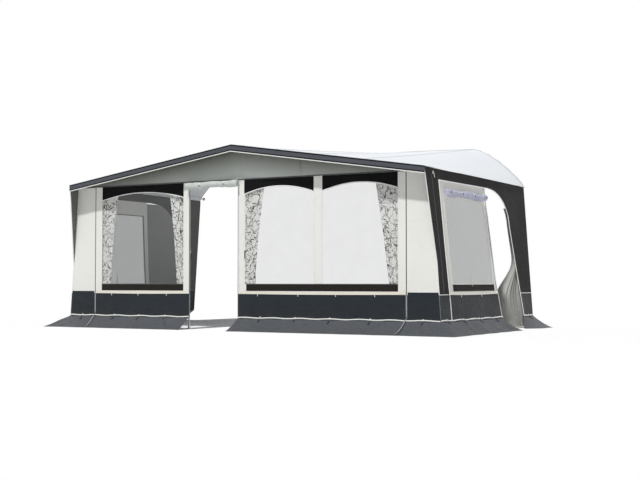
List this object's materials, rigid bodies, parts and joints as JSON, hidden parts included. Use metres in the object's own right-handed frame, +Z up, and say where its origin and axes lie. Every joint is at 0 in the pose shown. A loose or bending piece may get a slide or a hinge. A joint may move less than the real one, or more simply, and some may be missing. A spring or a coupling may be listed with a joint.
{
  "type": "caravan awning",
  "caption": "Gable-fronted caravan awning on a telescopic tube frame, with windows, curtains, an open front door, side walls and draught skirt.",
  "frame": {"origin": "on the ground, at the middle of the footprint that the wall, the draught skirt and the rail bead cover", "axes": "+X along the caravan, to the right of someone who faces the front wall; +Y from the front wall to the caravan; +Z up"},
  "size_m": [6.4054, 3.3074, 2.562],
  "materials": {
    "roof_cloth": "coated woven polyester",
    "wall_cloth": "coated woven polyester",
    "gable_cloth": "coated woven polyester",
    "fascia_cloth": "coated woven polyester",
    "stripe_cloth": "coated woven polyester",
    "mud_band_cloth": "wipe-clean coated cloth",
    "skirt_cloth": "wipe-clean coated cloth",
    "window_film": "clear flexible film",
    "curtain_cloth": "light printed polyester",
    "cover_cloth": "light coated cloth, rolled",
    "steel": "zinc plated tube",
    "plastic": "moulded",
    "bead": "welt cord"
  },
  "bodies": {
    "awning": {"roof": "roof_cloth", "fascia": "fascia_cloth", "gable_panel": "gable_cloth", "wall_left": "wall_cloth", "wall_right": "wall_cloth", "corner_panel_left": "wall_cloth", "corner_panel_right": "wall_cloth", "side_panel_left": "wall_cloth", "side_panel_right": "wall_cloth", "side_door_left": "wall_cloth", "side_door_tied": "wall_cloth", "door_roll": "wall_cloth", "valance_left": "stripe_cloth", "valance_middle": "stripe_cloth", "valance_right": "stripe_cloth", "sill_left": "stripe_cloth", "sill_right": "stripe_cloth", "side_surround_left": "stripe_cloth", "side_surround_right": "stripe_cloth", "mud_band_left": "mud_band_cloth", "mud_band_right": "mud_band_cloth", "skirt_left": "skirt_cloth", "skirt_right": "skirt_cloth", "window_film_left": "window_film", "window_film_right": "window_film", "side_film_left": "window_film", "side_film_right": "window_film", "side_roll_left": "cover_cloth", "side_roll_right": "cover_cloth", "curtain_track_left": "plastic", "curtain_track_right": "plastic", "rail_bead": "bead", "corner_joint_left": "steel", "corner_joint_right": "steel", "rafter_left": "steel", "rafter_right": "steel", "ridge_pole_front": "steel", "side_pole_front_left": "steel", "side_pole_front_right": "steel", "post_upper_left": "steel", "post_upper_door": "steel", "post_upper_centre": "steel", "post_upper_right": "steel"},
    "post_lower_left_body": {"post_lower_left": "steel"},
    "post_lower_door_body": {"post_lower_door": "steel"},
    "post_lower_centre_body": {"post_lower_centre": "steel"},
    "post_lower_right_body": {"post_lower_right": "steel"},
    "post_lever_left_body": {"post_lever_left": "plastic"},
    "post_lever_door_body": {"post_lever_door": "plastic"},
    "post_lever_centre_body": {"post_lever_centre": "plastic"},
    "post_lever_right_body": {"post_lever_right": "plastic"},
    "ridge_pole_rear_body": {"ridge_pole_rear": "steel"},
    "side_pole_rear_left_body": {"side_pole_rear_left": "steel"},
    "side_pole_rear_right_body": {"side_pole_rear_right": "steel"},
    "curtain_left_outer_body": {"curtain_left_outer": "curtain_cloth"},
    "curtain_left_inner_body": {"curtain_left_inner": "curtain_cloth"},
    "curtain_right_inner_body": {"curtain_right_inner": "curtain_cloth"},
    "curtain_right_outer_body": {"curtain_right_outer": "curtain_cloth"},
    "zip_slider_left_body": {"zip_slider_left": "steel"},
    "zip_slider_right_body": {"zip_slider_right": "steel"}
  },
  "joints": [
    {"name": "post_left_height", "type": "slide", "parent": "awning", "child": "post_lower_left_body", "axis": [0, 0, 1], "range_m": [-0.12, 0.25]},
    {"name": "post_door_height", "type": "slide", "parent": "awning", "child": "post_lower_door_body", "axis": [0, 0, 1], "range_m": [-0.12, 0.25]},
    {"name": "post_centre_height", "type": "slide", "parent": "awning", "child": "post_lower_centre_body", "axis": [0, 0, 1], "range_m": [-0.12, 0.25]},
    {"name": "post_right_height", "type": "slide", "parent": "awning", "child": "post_lower_right_body", "axis": [0, 0, 1], "range_m": [-0.12, 0.25]},
    {"name": "post_left_clamp", "type": "hinge", "parent": "awning", "child": "post_lever_left_body", "pos_m": [-2.6332, -1.25965, 1.0225], "axis": [1, 0, 0], "range_deg": [0, 100]},
    {"name": "post_door_clamp", "type": "hinge", "parent": "awning", "child": "post_lever_door_body", "pos_m": [-0.8212, -1.25965, 1.0225], "axis": [1, 0, 0], "range_deg": [0, 100]},
    {"name": "post_centre_clamp", "type": "hinge", "parent": "awning", "child": "post_lever_centre_body", "pos_m": [0.0368, -1.25965, 1.0225], "axis": [1, 0, 0], "range_deg": [0, 100]},
    {"name": "post_right_clamp", "type": "hinge", "parent": "awning", "child": "post_lever_right_body", "pos_m": [2.6468, -1.25965, 1.0225], "axis": [1, 0, 0], "range_deg": [0, 100]},
    {"name": "ridge_pole_length", "type": "slide", "parent": "awning", "child": "ridge_pole_rear_body", "axis": [0, 0.9987, 0.0507], "range_m": [-0.2, 0.05]},
    {"name": "side_pole_left_length", "type": "slide", "parent": "awning", "child": "side_pole_rear_left_body", "axis": [-0.0241, 0.9997, 0.0052], "range_m": [-0.2, 0.05]},
    {"name": "side_pole_right_length", "type": "slide", "parent": "awning", "child": "side_pole_rear_right_body", "axis": [0.0241, 0.9997, 0.0052], "range_m": [-0.2, 0.05]},
    {"name": "curtain_left_outer_draw", "type": "slide", "parent": "awning", "child": "curtain_left_outer_body", "axis": [1, 0, 0], "range_m": [0, 0.35]},
    {"name": "curtain_left_inner_draw", "type": "slide", "parent": "awning", "child": "curtain_left_inner_body", "axis": [-1, 0, 0], "range_m": [0, 0.35]},
    {"name": "curtain_right_inner_draw", "type": "slide", "parent": "awning", "child": "curtain_right_inner_body", "axis": [1, 0, 0], "range_m": [0, 0.45]},
    {"name": "curtain_right_outer_draw", "type": "slide", "parent": "awning", "child": "curtain_right_outer_body", "axis": [-1, 0, 0], "range_m": [0, 0.45]},
    {"name": "zip_left_travel", "type": "slide", "parent": "awning", "child": "zip_slider_left_body", "axis": [0, 0, 1], "range_m": [0, 1.68]},
    {"name": "zip_right_travel", "type": "slide", "parent": "awning", "child": "zip_slider_right_body", "axis": [0, 0, 1], "range_m": [0, 1.68]}
  ]
}
